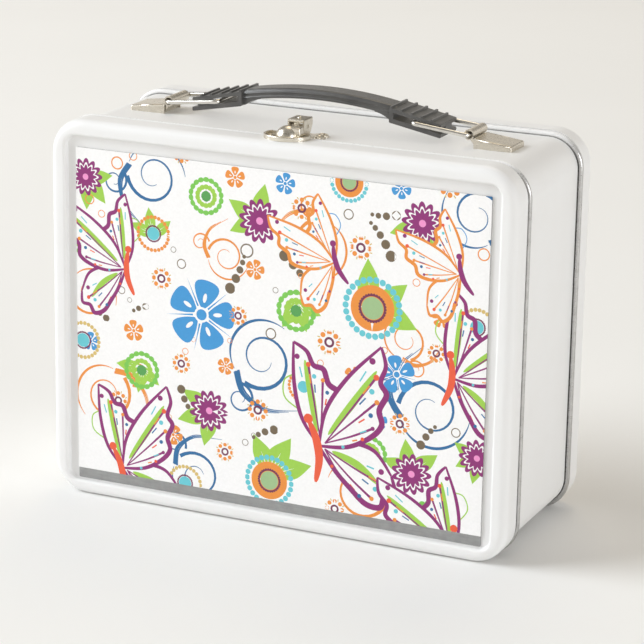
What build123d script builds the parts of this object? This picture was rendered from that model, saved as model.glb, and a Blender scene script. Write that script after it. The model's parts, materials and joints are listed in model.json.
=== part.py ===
from build123d import *
import math
import os

# Metal lunch box with a bottom-hinged front lid, a top latch and a lifting handle.
# Millimetres. X runs left to right along the lid hinge, Y runs front to back, Z is up.
# The origin is at the middle of the base, on the surface the box stands on.

# Box
WIDTH = 222.0
HEIGHT = 175.0
DEPTH = 94.6
CORNER_RADIUS = 16.0
EDGE_RADIUS = 4.0
SHEET = 0.3
FRONT_SEAM_Y = -34.4
REAR_SEAM_Y = 34.4
SEAM_GAP = 0.4
BAND_SIDE_INSET = 1.4
BAND_TOP_INSET = 2.2
NECK_LENGTH = 3.5
LID_HEM_SIDE_INSET = 1.2
LID_HEM_TOP_INSET = 1.5

# Stamped panels in the lid and the back pan
PANEL_HALF_WIDTH = 103.4
PANEL_LOW_Z = 6.6
PANEL_HIGH_Z = 167.6
PANEL_CORNER_RADIUS = 5.0
PANEL_DEPTH = 3.0
PANEL_RIM_RADIUS = 1.4
PANEL_FLOOR_RADIUS = 0.6

# Flat plates in the lid panel
BACKING_BOTTOM_MARGIN = 0.65
BACKING_THICKNESS = 0.4
PRINT_THICKNESS = 0.5
PRINT_SIDE_MARGIN = 4.6
PRINT_BOTTOM_MARGIN = 5.5
PRINT_TOP_MARGIN = 5.4
PLATE_CORNER_RADIUS = 0.6

# Bare metal beads round both seams
BEAD_RADIUS = 1.08
BEAD_OFFSET = 2.2
BEAD_SIDE_INSET = 0.3
BEAD_TOP_INSET = 1.1
BEAD_HINGE_GAP = 1.5

# Lid hinge
HINGE_HALF_LENGTH = 80.0
KNUCKLE_COUNT = 17
KNUCKLE_GAP = 0.3
KNUCKLE_RADIUS = 1.1
HINGE_PIN_RADIUS = 0.55
RUNNING_CLEARANCE = 0.05
LEAF_THICKNESS = 0.4
BODY_LEAF_DEPTH = 12.0
BODY_LEAF_GAP = 0.3
LID_LEAF_DEPTH = 7.2
LID_LEAF_STOP = 0.6
HINGE_NOTCH_HEIGHT = 1.4

# Handle hardware, measured from the handle's own middle
HANDLE_X = 0.6
BARREL_X = 72.6
BARREL_Z = 178.7
BARREL_RADIUS = 2.35
BARREL_SHEET = 0.6
BARREL_HALF_LENGTH = 8.0
WIRE_RADIUS = 1.0
BAIL_HALF_WIDTH = 10.15
BAIL_BEND_RADIUS = 2.0
BAIL_INNER_X = 46.8
BAIL_INNER_Z = 181.45
COVER_INNER_X = 74.8
COVER_OUTER_X = 92.2
COVER_HALF_WIDTH = 8.0
COVER_INNER_TOP_Z = 177.2
COVER_OUTER_TOP_Z = 175.2
COVER_SHEET = 0.5
COVER_EDGE_RADIUS = 0.9
TAB_X = (80.6, 86.6)
TAB_LENGTH = 1.8
CLIP_PLATE_HALF_WIDTH = 5.4
CLIP_PLATE_THICKNESS = 0.6
CLIP_PLATE_END = 3.2
CLIP_PLATE_CORNER_RADIUS = 1.5
STRAP_END = 2.4

# Rivets
RIVET_CLEARANCE = 0.05
RIVET_TAIL_HEIGHT = 0.5
RIVET_TAIL_SPREAD = 0.6
CLIP_RIVET_X = (79.2, 86.6)
CLIP_RIVET_RADIUS = 1.3
CLIP_RIVET_HEAD = (2.2, 0.9)
SMALL_RIVET_RADIUS = 0.9
LATCH_RIVET_X = 8.4
LATCH_RIVET_Y = -21.2
LATCH_RIVET_HEAD = (1.6, 0.8)
KEEPER_RIVET_X = 6.3
KEEPER_RIVET_Y = -39.4
KEEPER_RIVET_HEAD = (1.3, 0.8)

# Grip
GRIP_TOP_Z = 190.5
GRIP_BAR_HEIGHT = 4.7
GRIP_BAR_HALF_WIDTH = 6.3
GRIP_BAR_EDGE_RADIUS = 2.0
GRIP_BAR_OVERLAP = 1.5
GRIP_ARC_RADIUS = 190.0
GRIP_BLOCK_INNER_X = 35.6
GRIP_BLOCK_OUTER_X = 60.0
GRIP_BLOCK_HALF_WIDTH = 9.0
GRIP_BLOCK_EDGE_RADIUS = 0.6
GRIP_BLOCK_TOP_INNER_Z = 187.0
GRIP_BLOCK_TOP_OUTER_Z = 181.9
GRIP_BLOCK_LOW_INNER_Z = 180.4
GRIP_BLOCK_LOW_OUTER_Z = 175.8
SHOULDER_LENGTH = 8.0
SHOULDER_START_Z = 183.9
SHOULDER_MIDDLE = (3.6, 182.6)
SHOULDER_END = (0.5, 180.6)
SHOULDER_ROOF_Z = 185.6
SLOT_INNER_X = 37.6
SLOT_OUTER_X = 55.9
SLOT_MIDDLE_Z = 181.64
SLOT_SLOPE = 0.2
SLOT_HEIGHT = 2.7
WEB_HALF_WIDTH = 3.6
RIB_COUNT = 5
RIB_PITCH = 4.8
RIB_FIRST_X = 36.4
RIB_HEIGHT = 0.8
RIB_WIDTH = 1.3
RIB_TAPER = 0.2

# Latch
LATCH_X = 0.2
LATCH_PIN_Y = -22.9
LATCH_PIN_Z = 177.9
LATCH_PIN_RADIUS = 0.8
LEVER_HALF_WIDTH = 3.9
LEVER_SHEET = 0.6
LEVER_FRONT = 4.2
LEVER_BACK = 4.7
LEVER_UP = 3.5
LEVER_DOWN = 3.9
LEVER_OPENING_DEG = 60.0
LEVER_EDGE_RADIUS = 0.5
LIP_RADIUS = 0.8
NIB_RADIUS = 1.3
DETENT_HALF_WIDTH = 1.2
DETENT_THICKNESS = 0.5
DETENT_GAP = 0.3
LATCH_PLATE_THICKNESS = 0.8
LATCH_PLATE_HALF_WIDTH = 6.5
LATCH_PLATE_FRONT_Y = -29.6
LATCH_PLATE_BACK_Y = -16.6
LATCH_LOBES = (
    (8.4, -21.2, 2.9),
    (9.3, -24.8, 1.9),
    (9.7, -17.9, 1.9),
    (7.2, -27.2, 2.2),
    (6.6, -16.6, 2.0),
)
EAR_HALF_WIDTH = 3.0
EAR_SHEET = 0.8
EAR_RADIUS = 2.1
KEEPER_CENTRE_Y = -35.6
KEEPER_HALF_LENGTH = 10.6
KEEPER_HALF_DEPTH = 8.8
KEEPER_BACK_Y = -31.4
KEEPER_THICKNESS = 0.7
KEEPER_RIM_HEIGHT = 0.9
KEEPER_RIM_WIDTH = 0.8
BOSS_Y = -35.4
BOSS_RADIUS = 5.2
BOSS_TOP_Z = 180.4
BOSS_BACK_MARGIN = 0.9
TONGUE_HALF_WIDTH = 2.2
TONGUE_TOP_Z = 177.4
TONGUE_BACK_Y = -27.0
HOOK_THICKNESS = 0.8

# How far a cutting tool runs past the surface it cuts
REACH = 1.0

HALF_WIDTH = WIDTH / 2
FRONT_Y = -DEPTH / 2
PANEL_FLOOR_Y = FRONT_Y + PANEL_DEPTH
BAND_TOP_Z = HEIGHT - BAND_TOP_INSET
BAND_INNER_TOP_Z = BAND_TOP_Z - SHEET
LID_OPEN_Y = FRONT_SEAM_Y - SEAM_GAP
PAN_OPEN_Y = REAR_SEAM_Y + SEAM_GAP
FRONT_BEAD_Y = FRONT_SEAM_Y + BEAD_OFFSET
REAR_BEAD_Y = REAR_SEAM_Y - BEAD_OFFSET
HINGE_Y = FRONT_BEAD_Y
HINGE_Z = KNUCKLE_RADIUS
PLATE_HALF_WIDTH = PANEL_HALF_WIDTH - PRINT_SIDE_MARGIN
PLATE_TOP_Z = PANEL_HIGH_Z - PRINT_TOP_MARGIN
LATCH_RIVET_GRIP = (BAND_INNER_TOP_Z, BAND_TOP_Z + LATCH_PLATE_THICKNESS)
KEEPER_RIVET_GRIP = (HEIGHT - SHEET, HEIGHT + KEEPER_THICKNESS)
CLIP_RIVET_GRIP = (BAND_INNER_TOP_Z - CLIP_PLATE_THICKNESS, BAND_TOP_Z + BARREL_SHEET)


def front_plane(y):
    """A plane facing the front at y, with its x along X and its y along Z."""
    return Plane(origin=(0, y, 0), x_dir=(1, 0, 0), z_dir=(0, -1, 0))


def slab(half_width, low_z, high_z, radius, front_y, back_y):
    """A block with rounded corners seen from the front, between two Y values."""
    outline = Pos(0, (low_z + high_z) / 2) * RectangleRounded(2 * half_width, high_z - low_z, radius)
    return extrude(front_plane(back_y) * outline, back_y - front_y)


def outline_slab(side_inset, top_inset, front_y, back_y):
    """The box's front outline moved inwards at the sides and at top and bottom."""
    return slab(
        HALF_WIDTH - side_inset,
        top_inset,
        HEIGHT - top_inset,
        CORNER_RADIUS - top_inset,
        front_y,
        back_y,
    )


def block(low, high):
    """A plain box between two corners."""
    size = [high[i] - low[i] for i in range(3)]
    middle = [(high[i] + low[i]) / 2 for i in range(3)]
    return Pos(*middle) * Box(*size)


def rod_x(x0, x1, y, z, radius):
    """A cylinder along X."""
    return Pos((x0 + x1) / 2, y, z) * Rot(0, 90, 0) * Cylinder(radius, abs(x1 - x0))


def rod_y(x, z, half_length, radius):
    """A cylinder along Y, centred on y = 0."""
    return Pos(x, 0, z) * Rot(90, 0, 0) * Cylinder(radius, 2 * half_length)


def rod_z(x, y, z0, z1, radius):
    """A cylinder along Z."""
    return Pos(x, y, (z0 + z1) / 2) * Cylinder(radius, abs(z1 - z0))


def side_profile(points, half_width):
    """A closed outline of (x, z) points, extruded to half_width on both sides of y = 0."""
    outline = make_face(Polyline(*points, close=True))
    return extrude(front_plane(half_width) * outline, 2 * half_width)


def mirrored_x(shape):
    """The same shape on the other side of the handle's middle."""
    return mirror(shape, Plane.YZ)


def joined(shapes):
    """All the shapes as one."""
    whole = shapes[0]
    for shape in shapes[1:]:
        whole = whole + shape
    return whole


def rivet_hole(x, y, grip, radius):
    """The hole for a rivet through everything in its grip."""
    return rod_z(x, y, grip[0] - REACH, grip[1] + REACH, radius + RIVET_CLEARANCE)


def rivet(x, y, grip, head, radius):
    """A rivet along Z with a domed head above and a flat tail below what it holds."""
    low, high = grip
    head_radius, head_height = head
    sphere_radius = (head_radius**2 + head_height**2) / (2 * head_height)
    dome = Pos(x, y, high + head_height - sphere_radius) * Sphere(sphere_radius)
    dome = dome & rod_z(x, y, high, high + head_height + REACH, head_radius)
    tail = rod_z(x, y, low - RIVET_TAIL_HEIGHT, low, radius + RIVET_TAIL_SPREAD)
    return dome + rod_z(x, y, low, high, radius) + tail


def clip_rivet_points():
    """The clip rivets' (x, y) places on both sides."""
    return [(HANDLE_X + side * x, 0.0) for side in (-1, 1) for x in CLIP_RIVET_X]


def latch_rivet_points():
    """The latch base rivets' (x, y) places."""
    return [(LATCH_X + side * LATCH_RIVET_X, LATCH_RIVET_Y) for side in (-1, 1)]


def keeper_rivet_points():
    """The keeper rivets' (x, y) places."""
    return [(LATCH_X + side * KEEPER_RIVET_X, KEEPER_RIVET_Y) for side in (-1, 1)]


def pressed_form(inset, open_y):
    """The lid's outer form, moved inwards by inset: rounded front edges and a sunk front panel."""
    form = outline_slab(inset, inset, FRONT_Y + inset, open_y)
    form = fillet(form.faces().sort_by(Axis.Y)[0].edges(), EDGE_RADIUS - inset)
    floor_y = PANEL_FLOOR_Y + inset
    pocket = slab(
        PANEL_HALF_WIDTH + inset,
        PANEL_LOW_Z - inset,
        PANEL_HIGH_Z + inset,
        PANEL_CORNER_RADIUS + inset,
        FRONT_Y - REACH,
        floor_y,
    )
    form = form - pocket
    rim = form.faces().filter_by(Axis.Y).sort_by(Axis.Y)[0]
    form = fillet(rim.inner_wires()[0].edges(), PANEL_RIM_RADIUS - inset)
    floor = [f for f in form.faces().filter_by(Axis.Y) if abs(f.center().Y - floor_y) < 0.01][0]
    return fillet(floor.outer_wire().edges(), PANEL_FLOOR_RADIUS + inset)


def pressed_shell(open_y, hem_side_inset, hem_top_inset):
    """A pressed sheet pan, open at open_y, with a narrow flange turned inwards at its edge."""
    shell = pressed_form(0, open_y) - pressed_form(SHEET, open_y + REACH)
    flange = outline_slab(SHEET / 2, SHEET / 2, open_y - SHEET, open_y)
    opening = outline_slab(hem_side_inset, hem_top_inset, open_y - SHEET - REACH, open_y + REACH)
    return shell + (flange - opening)


def make_front_lid():
    lid = pressed_shell(LID_OPEN_Y, LID_HEM_SIDE_INSET, LID_HEM_TOP_INSET)
    lid = lid - block(
        (-HINGE_HALF_LENGTH - REACH, LID_OPEN_Y - SHEET - 0.1, SHEET),
        (HINGE_HALF_LENGTH + REACH, LID_OPEN_Y + REACH, SHEET + HINGE_NOTCH_HEIGHT),
    )
    for x, y in keeper_rivet_points():
        lid = lid - rivet_hole(x, y, KEEPER_RIVET_GRIP, SMALL_RIVET_RADIUS)
    return lid


def make_back_pan():
    return mirror(pressed_shell(-PAN_OPEN_Y, BAND_SIDE_INSET, BAND_TOP_INSET), Plane.XZ)


def tab_slots():
    """The four slots in the band for the clip covers' tabs."""
    slots = []
    low = BAND_INNER_TOP_Z - REACH
    high = BAND_TOP_Z + REACH
    for side in (-1, 1):
        x0, x1 = sorted(HANDLE_X + side * x for x in TAB_X)
        for y_side in (-1, 1):
            y0, y1 = sorted(y_side * y for y in (COVER_HALF_WIDTH - COVER_SHEET, COVER_HALF_WIDTH))
            slots.append(
                block(
                    (x0 - RUNNING_CLEARANCE, y0 - RUNNING_CLEARANCE, low),
                    (x1 + RUNNING_CLEARANCE, y1 + RUNNING_CLEARANCE, high),
                )
            )
    return slots


def make_body_band():
    front = FRONT_SEAM_Y - NECK_LENGTH
    back = REAR_SEAM_Y + NECK_LENGTH
    band = outline_slab(BAND_SIDE_INSET, BAND_TOP_INSET, front, back)
    band = band - outline_slab(
        BAND_SIDE_INSET + SHEET, BAND_TOP_INSET + SHEET, front - REACH, back + REACH
    )
    for slot in tab_slots():
        band = band - slot
    for x, y in clip_rivet_points():
        band = band - rivet_hole(x, y, CLIP_RIVET_GRIP, CLIP_RIVET_RADIUS)
    for x, y in latch_rivet_points():
        band = band - rivet_hole(x, y, LATCH_RIVET_GRIP, SMALL_RIVET_RADIUS)
    return band


def bead(y, open_half_length):
    """A round bead along the box outline at y, open at the bottom if a half length is given."""
    w = HALF_WIDTH - BEAD_SIDE_INSET
    low = BEAD_TOP_INSET
    high = HEIGHT - BEAD_TOP_INSET
    radius = CORNER_RADIUS - BEAD_TOP_INSET
    corners = [(-w, low), (-w, high), (w, high), (w, low)]
    if open_half_length:
        points = [(-open_half_length, low), *corners, (open_half_length, low)]
        path = front_plane(y) * FilletPolyline(*points, radius=radius)
    else:
        path = front_plane(y) * FilletPolyline(*corners, radius=radius, close=True)
    section = Plane(origin=path @ 0, z_dir=path % 0) * Circle(BEAD_RADIUS)
    return sweep(section, path)


def knuckle_spans(first):
    """Every other knuckle's X range, starting with knuckle first."""
    pitch = 2 * HINGE_HALF_LENGTH / KNUCKLE_COUNT
    spans = []
    for i in range(first, KNUCKLE_COUNT, 2):
        x0 = -HINGE_HALF_LENGTH + i * pitch
        spans.append((x0 + KNUCKLE_GAP / 2, x0 + pitch - KNUCKLE_GAP / 2))
    return spans


def hinge_leaf(first, plate, bridge):
    """A leaf with its knuckles: bridge(x0, x1) joins one knuckle to the plate."""
    leaf = plate
    for x0, x1 in knuckle_spans(first):
        leaf = leaf + bridge(x0, x1) + rod_x(x0, x1, HINGE_Y, HINGE_Z, KNUCKLE_RADIUS)
    end = HINGE_HALF_LENGTH + REACH
    return leaf - rod_x(-end, end, HINGE_Y, HINGE_Z, HINGE_PIN_RADIUS + RUNNING_CLEARANCE)


def make_body_hinge_leaf():
    low = BAND_TOP_INSET - LEAF_THICKNESS
    plate_front = HINGE_Y + KNUCKLE_RADIUS + BODY_LEAF_GAP
    plate = block(
        (-HINGE_HALF_LENGTH, plate_front, low),
        (HINGE_HALF_LENGTH, HINGE_Y + BODY_LEAF_DEPTH, BAND_TOP_INSET),
    )

    def bridge(x0, x1):
        return block((x0, HINGE_Y, low), (x1, plate_front + BODY_LEAF_GAP, BAND_TOP_INSET))

    return hinge_leaf(0, plate, bridge)


def make_lid_hinge_leaf():
    high = SHEET + LEAF_THICKNESS
    plate = block(
        (-HINGE_HALF_LENGTH, LID_OPEN_Y - LID_LEAF_DEPTH, SHEET), (HINGE_HALF_LENGTH, LID_OPEN_Y, high)
    )

    def bridge(x0, x1):
        return block((x0, LID_OPEN_Y - LID_LEAF_STOP, SHEET), (x1, HINGE_Y - LID_LEAF_STOP, high))

    return hinge_leaf(1, plate, bridge)


def make_hinge_pin():
    return rod_x(-HINGE_HALF_LENGTH, HINGE_HALF_LENGTH, HINGE_Y, HINGE_Z, HINGE_PIN_RADIUS)


def make_insert_backing_plate():
    """The flat plate behind the printed insert, showing as a strip below it."""
    low = PANEL_LOW_Z + BACKING_BOTTOM_MARGIN
    front = PANEL_FLOOR_Y - BACKING_THICKNESS
    return slab(PLATE_HALF_WIDTH, low, PLATE_TOP_Z, PLATE_CORNER_RADIUS, front, PANEL_FLOOR_Y)


def make_printed_insert():
    low = PANEL_LOW_Z + PRINT_BOTTOM_MARGIN
    back = PANEL_FLOOR_Y - BACKING_THICKNESS
    return slab(PLATE_HALF_WIDTH, low, PLATE_TOP_Z, PLATE_CORNER_RADIUS, back - PRINT_THICKNESS, back)


def lever_side(x0, x1):
    """One side plate of the lever: square front, and a back that is round below the pin."""
    lean = math.radians(LEVER_OPENING_DEG - 90)
    round_end = (LEVER_DOWN * math.cos(lean), LEVER_DOWN * math.sin(lean))
    slope = -math.cos(lean) / math.sin(lean)
    back_low = round_end[1] + (LEVER_BACK - round_end[0]) * slope
    middle = math.radians((LEVER_OPENING_DEG - 180) / 2)
    round_middle = (LEVER_DOWN * math.cos(middle), LEVER_DOWN * math.sin(middle))
    outline = [
        Line((0, -LEVER_DOWN), (-LEVER_FRONT, -LEVER_DOWN)),
        Line((-LEVER_FRONT, -LEVER_DOWN), (-LEVER_FRONT, LEVER_UP)),
        Line((-LEVER_FRONT, LEVER_UP), (LEVER_BACK, LEVER_UP)),
        Line((LEVER_BACK, LEVER_UP), (LEVER_BACK, back_low)),
        Line((LEVER_BACK, back_low), round_end),
        ThreePointArc(round_end, round_middle, (0, -LEVER_DOWN)),
    ]
    plane = Plane(origin=(x0, LATCH_PIN_Y, LATCH_PIN_Z), x_dir=(0, 1, 0), z_dir=(1, 0, 0))
    return extrude(plane * make_face(Wire(outline)), x1 - x0)


def make_latch_lever():
    """A folded cap on the latch pin, with a rolled front lip, a thumb nib and a detent."""
    x0 = LATCH_X - LEVER_HALF_WIDTH
    x1 = LATCH_X + LEVER_HALF_WIDTH
    top = LATCH_PIN_Z + LEVER_UP
    under = top - LEVER_SHEET
    front = LATCH_PIN_Y - LEVER_FRONT
    roof = block((x0, front, under), (x1, LATCH_PIN_Y + LEVER_BACK, top))
    lever = roof + lever_side(x0, x0 + LEVER_SHEET) + lever_side(x1 - LEVER_SHEET, x1)
    edges = lever.edges().filter_by(Axis.Y).sort_by(Axis.Z)[-4:]
    outer = [e for e in edges if abs(abs(e.center().X - LATCH_X) - LEVER_HALF_WIDTH) < 0.01]
    lever = fillet(outer, LEVER_EDGE_RADIUS)
    lip = rod_x(x0 + LIP_RADIUS / 2, x1 - LIP_RADIUS / 2, front + 0.3, under - 0.1, LIP_RADIUS)
    nib = Pos(LATCH_X, LATCH_PIN_Y, top - NIB_RADIUS / 2) * Sphere(NIB_RADIUS)
    nib = nib & rod_z(LATCH_X, LATCH_PIN_Y, under, top + NIB_RADIUS, NIB_RADIUS)
    detent = block(
        (LATCH_X - DETENT_HALF_WIDTH, front + LIP_RADIUS, TONGUE_TOP_Z + DETENT_GAP),
        (LATCH_X + DETENT_HALF_WIDTH, front + LIP_RADIUS + DETENT_THICKNESS, under),
    )
    hole_radius = LATCH_PIN_RADIUS + RUNNING_CLEARANCE
    hole = rod_x(x0 - REACH, x1 + REACH, LATCH_PIN_Y, LATCH_PIN_Z, hole_radius)
    return (lever + lip + nib + detent) - hole


def make_latch_pin():
    half_length = LEVER_HALF_WIDTH - LEVER_SHEET / 2
    x0 = LATCH_X - half_length
    return rod_x(x0, x0 + 2 * half_length, LATCH_PIN_Y, LATCH_PIN_Z, LATCH_PIN_RADIUS)


def make_latch_base():
    """A lobed plate riveted to the band, with two ears that hold the latch pin."""
    low = BAND_TOP_Z
    high = BAND_TOP_Z + LATCH_PLATE_THICKNESS
    base = block(
        (LATCH_X - LATCH_PLATE_HALF_WIDTH, LATCH_PLATE_FRONT_Y, low),
        (LATCH_X + LATCH_PLATE_HALF_WIDTH, LATCH_PLATE_BACK_Y, high),
    )
    for side in (-1, 1):
        for x, y, radius in LATCH_LOBES:
            base = base + rod_z(LATCH_X + side * x, y, low, high, radius)
        x0, x1 = sorted(LATCH_X + side * x for x in (EAR_HALF_WIDTH, EAR_HALF_WIDTH - EAR_SHEET))
        base = base + block(
            (x0, LATCH_PIN_Y - EAR_RADIUS, low), (x1, LATCH_PIN_Y + EAR_RADIUS, LATCH_PIN_Z)
        )
        base = base + rod_x(x0, x1, LATCH_PIN_Y, LATCH_PIN_Z, EAR_RADIUS)
    for x, y in latch_rivet_points():
        base = base - rivet_hole(x, y, LATCH_RIVET_GRIP, SMALL_RIVET_RADIUS)
    x0 = LATCH_X - EAR_HALF_WIDTH - REACH
    x1 = LATCH_X + EAR_HALF_WIDTH + REACH
    return base - rod_x(x0, x1, LATCH_PIN_Y, LATCH_PIN_Z, LATCH_PIN_RADIUS)


def make_latch_rivets():
    places = latch_rivet_points()
    return joined(
        [rivet(x, y, LATCH_RIVET_GRIP, LATCH_RIVET_HEAD, SMALL_RIVET_RADIUS) for x, y in places]
    )


def keeper_outline(shrink):
    """The keeper's oval, cut straight at the back."""
    half_length = KEEPER_HALF_LENGTH - shrink
    half_depth = KEEPER_HALF_DEPTH - shrink
    oval = Pos(LATCH_X, KEEPER_CENTRE_Y) * Ellipse(half_length, half_depth)
    size = 4 * KEEPER_HALF_LENGTH
    return oval & (Pos(LATCH_X, KEEPER_BACK_Y - shrink - size / 2) * Rectangle(size, size))


def make_keeper_plate():
    """A shallow oval dish on the lid, with an upturned rim."""
    high = HEIGHT + KEEPER_THICKNESS
    plate = extrude(Pos(0, 0, HEIGHT) * keeper_outline(0), KEEPER_THICKNESS + KEEPER_RIM_HEIGHT)
    dish = extrude(Pos(0, 0, high) * keeper_outline(KEEPER_RIM_WIDTH), KEEPER_RIM_HEIGHT + REACH)
    plate = plate - dish
    for x, y in keeper_rivet_points():
        plate = plate - rivet_hole(x, y, KEEPER_RIVET_GRIP, SMALL_RIVET_RADIUS)
    return plate


def make_keeper_boss():
    """A dome on the keeper with a tongue that reaches back under the lever."""
    low = HEIGHT + KEEPER_THICKNESS
    height = BOSS_TOP_Z - low
    back = KEEPER_BACK_Y - BOSS_BACK_MARGIN
    sphere_radius = (BOSS_RADIUS**2 + height**2) / (2 * height)
    dome = Pos(LATCH_X, BOSS_Y, BOSS_TOP_Z - sphere_radius) * Sphere(sphere_radius)
    dome = dome & rod_z(LATCH_X, BOSS_Y, low, BOSS_TOP_Z + REACH, BOSS_RADIUS)
    dome = dome & block(
        (LATCH_X - 2 * BOSS_RADIUS, BOSS_Y - 2 * BOSS_RADIUS, low),
        (LATCH_X + 2 * BOSS_RADIUS, back, BOSS_TOP_Z + REACH),
    )
    x0 = LATCH_X - TONGUE_HALF_WIDTH
    x1 = LATCH_X + TONGUE_HALF_WIDTH
    tongue = block((x0, BOSS_Y, low), (x1, back, TONGUE_TOP_Z))
    hook_low = TONGUE_TOP_Z - HOOK_THICKNESS
    hook = block((x0, back - HOOK_THICKNESS, hook_low), (x1, TONGUE_BACK_Y, TONGUE_TOP_Z))
    return dome + tongue + hook


def make_keeper_rivets():
    places = keeper_rivet_points()
    return joined(
        [rivet(x, y, KEEPER_RIVET_GRIP, KEEPER_RIVET_HEAD, SMALL_RIVET_RADIUS) for x, y in places]
    )


def place_on_side(shape, side):
    """Puts a shape made for the right end of the handle on either side."""
    if side < 0:
        shape = mirrored_x(shape)
    return Pos(HANDLE_X, 0, 0) * shape


def cover_tab(y_side):
    """A tab of the clip cover through the band, with its end bent outwards under the sheet."""
    low = BAND_INNER_TOP_Z - COVER_SHEET
    edge = y_side * COVER_HALF_WIDTH
    y0, y1 = sorted((edge - y_side * COVER_SHEET, edge))
    tab = block((TAB_X[0], y0, low), (TAB_X[1], y1, BAND_TOP_Z + COVER_SHEET))
    y0, y1 = sorted((edge - y_side * TAB_LENGTH, edge))
    return tab + block((TAB_X[0], y0, low), (TAB_X[1], y1, BAND_INNER_TOP_Z))


def make_clip_cover(side):
    """A wedge-shaped sheet cover, open at its inner end, with two tabs through the band."""
    low = BAND_TOP_Z
    outer = side_profile(
        [
            (COVER_INNER_X, low),
            (COVER_OUTER_X, low),
            (COVER_OUTER_X, COVER_OUTER_TOP_Z),
            (COVER_INNER_X, COVER_INNER_TOP_Z),
        ],
        COVER_HALF_WIDTH,
    )
    high_edges = outer.edges().filter_by(lambda e: e.center().Z > low + 1)
    rounded = high_edges.filter_by(lambda e: e.center().X > COVER_INNER_X + 1)
    outer = fillet(rounded, COVER_EDGE_RADIUS)
    inner_end = COVER_OUTER_X - COVER_SHEET
    inner = side_profile(
        [
            (COVER_INNER_X - REACH, low - REACH),
            (inner_end, low - REACH),
            (inner_end, COVER_OUTER_TOP_Z - COVER_SHEET),
            (COVER_INNER_X - REACH, COVER_INNER_TOP_Z - COVER_SHEET),
        ],
        COVER_HALF_WIDTH - COVER_SHEET,
    )
    return place_on_side((outer - inner) + cover_tab(-1) + cover_tab(1), side)


def make_clip_strap(side):
    """A riveted foot that rises and curls into an open barrel for the bail."""
    foot_top = BAND_TOP_Z + BARREL_SHEET
    foot_end = CLIP_RIVET_X[1] + STRAP_END
    barrel_low = BARREL_Z - BARREL_RADIUS
    tube = rod_y(BARREL_X, BARREL_Z, BARREL_HALF_LENGTH, BARREL_RADIUS)
    bore = rod_y(BARREL_X, BARREL_Z, BARREL_HALF_LENGTH + REACH, BARREL_RADIUS - BARREL_SHEET)
    leg = side_profile(
        [
            (BARREL_X + 0.3, barrel_low + 0.1),
            (BARREL_X + 1.6, barrel_low + 0.75),
            (COVER_INNER_X + 1.2, foot_top),
            (foot_end, foot_top),
            (foot_end, BAND_TOP_Z),
            (COVER_INNER_X + 0.9, BAND_TOP_Z),
        ],
        BARREL_HALF_LENGTH - 1,
    )
    slit_end = BARREL_X + BARREL_RADIUS + REACH
    slit = side_profile(
        [(BARREL_X, BARREL_Z), (slit_end, BARREL_Z - 1.1), (slit_end, BARREL_Z - 0.3)],
        BARREL_HALF_LENGTH + REACH,
    )
    strap = ((tube + leg) - bore) - slit
    for x in CLIP_RIVET_X:
        strap = strap - rivet_hole(x, 0, CLIP_RIVET_GRIP, CLIP_RIVET_RADIUS)
    return place_on_side(strap, side)


def make_clip_backing_plate(side):
    plate = block(
        (CLIP_RIVET_X[0] - CLIP_PLATE_END, -CLIP_PLATE_HALF_WIDTH, CLIP_RIVET_GRIP[0]),
        (CLIP_RIVET_X[1] + CLIP_PLATE_END, CLIP_PLATE_HALF_WIDTH, BAND_INNER_TOP_Z),
    )
    plate = fillet(plate.edges().filter_by(Axis.Z), CLIP_PLATE_CORNER_RADIUS)
    for x in CLIP_RIVET_X:
        plate = plate - rivet_hole(x, 0, CLIP_RIVET_GRIP, CLIP_RIVET_RADIUS)
    return place_on_side(plate, side)


def make_clip_rivets():
    places = clip_rivet_points()
    return joined([rivet(x, y, CLIP_RIVET_GRIP, CLIP_RIVET_HEAD, CLIP_RIVET_RADIUS) for x, y in places])


def make_bail(side):
    """A closed rectangle of round wire from the clip barrel to the grip's slot."""
    lean = math.atan2(BAIL_INNER_Z - BARREL_Z, BARREL_X - BAIL_INNER_X)
    half_length = math.hypot(BAIL_INNER_Z - BARREL_Z, BARREL_X - BAIL_INNER_X) / 2
    plane = Plane(
        origin=((BARREL_X + BAIL_INNER_X) / 2, 0, (BARREL_Z + BAIL_INNER_Z) / 2),
        x_dir=(-math.cos(lean), 0, math.sin(lean)),
        z_dir=(math.sin(lean), 0, math.cos(lean)),
    )
    corners = [
        (-half_length, -BAIL_HALF_WIDTH),
        (half_length, -BAIL_HALF_WIDTH),
        (half_length, BAIL_HALF_WIDTH),
        (-half_length, BAIL_HALF_WIDTH),
    ]
    path = plane * FilletPolyline(*corners, radius=BAIL_BEND_RADIUS, close=True)
    section = Plane(origin=path @ 0, z_dir=path % 0) * Circle(WIRE_RADIUS)
    return place_on_side(sweep(section, path), side)


def grip_bar():
    """The arched middle bar."""
    middle_z = GRIP_TOP_Z - GRIP_BAR_HEIGHT / 2
    angle = math.asin((GRIP_BLOCK_INNER_X + GRIP_BAR_OVERLAP) / GRIP_ARC_RADIUS)
    end_x = GRIP_ARC_RADIUS * math.sin(angle)
    end_z = middle_z - GRIP_ARC_RADIUS * (1 - math.cos(angle))
    path = front_plane(0) * ThreePointArc((-end_x, end_z), (0, middle_z), (end_x, end_z))
    section_plane = Plane(origin=path @ 0, x_dir=(0, 1, 0), z_dir=path % 0)
    section = RectangleRounded(2 * GRIP_BAR_HALF_WIDTH, GRIP_BAR_HEIGHT, GRIP_BAR_EDGE_RADIUS)
    return sweep(section_plane * section, path)


def slot_z(x):
    """Height of the slot's middle line at x from the handle's middle."""
    return SLOT_MIDDLE_Z - SLOT_SLOPE * (x - BAIL_INNER_X)


def slot_cut(x0, x1, half_width):
    """The sloping slot between two X values."""
    h = SLOT_HEIGHT / 2
    points = [
        (x0, slot_z(x0) - h),
        (x1, slot_z(x1) - h),
        (x1, slot_z(x1) + h),
        (x0, slot_z(x0) + h),
    ]
    return side_profile(points, half_width)


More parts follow.
